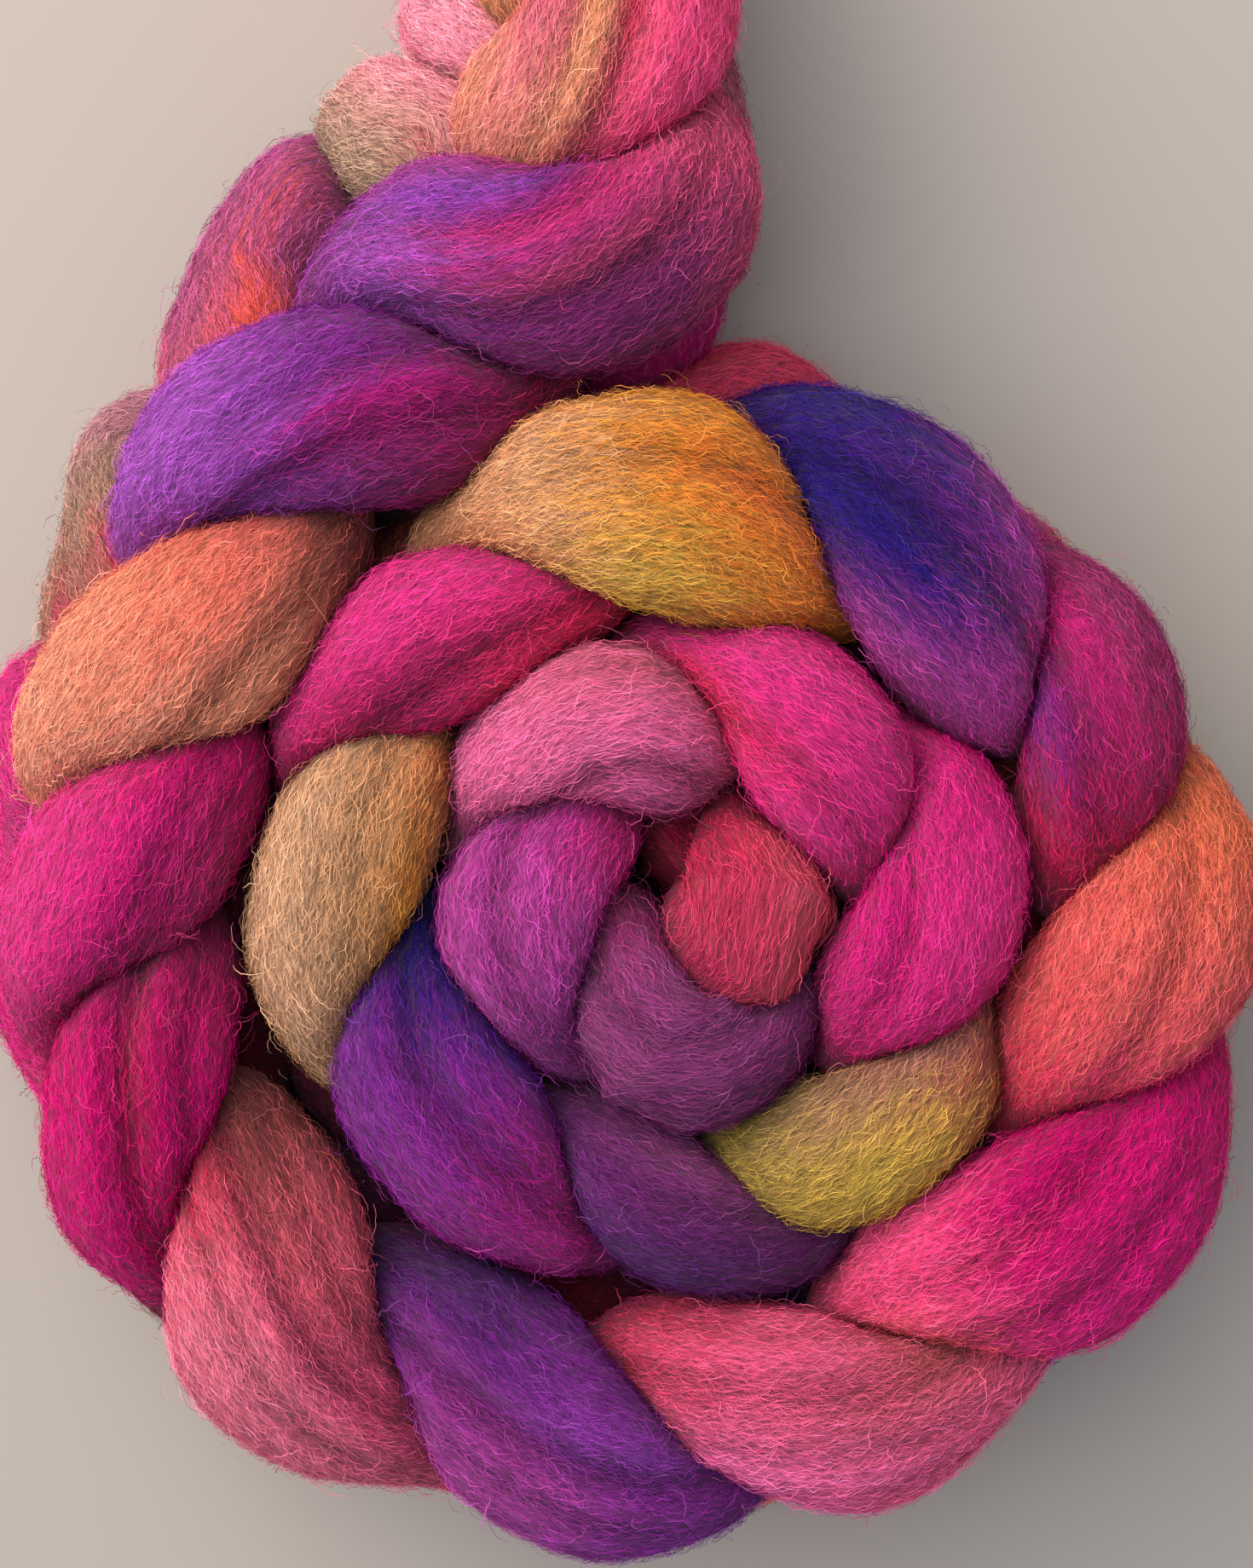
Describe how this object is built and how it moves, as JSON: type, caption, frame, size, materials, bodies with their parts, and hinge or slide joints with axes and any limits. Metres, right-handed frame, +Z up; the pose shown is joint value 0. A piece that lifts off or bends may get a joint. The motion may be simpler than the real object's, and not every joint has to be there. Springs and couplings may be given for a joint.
{
  "type": "coiled braid of wool roving",
  "caption": "Plait of hand-dyed combed wool roving, stood on its edge and coiled into a round bun with a short tail.",
  "frame": {"origin": "middle of the bounding box, on the surface that the coil rests on", "axes": "+Z up from that surface, +Y from the bun towards the tail"},
  "size_m": [0.1974, 0.3008, 0.0802],
  "materials": {
    "dyed_wool": "matt, fuzzy combed wool, dyed in pinks, purples, oranges and golds"
  },
  "bodies": {
    "root": {"roving_braid": "dyed_wool"}
  },
  "joints": []
}
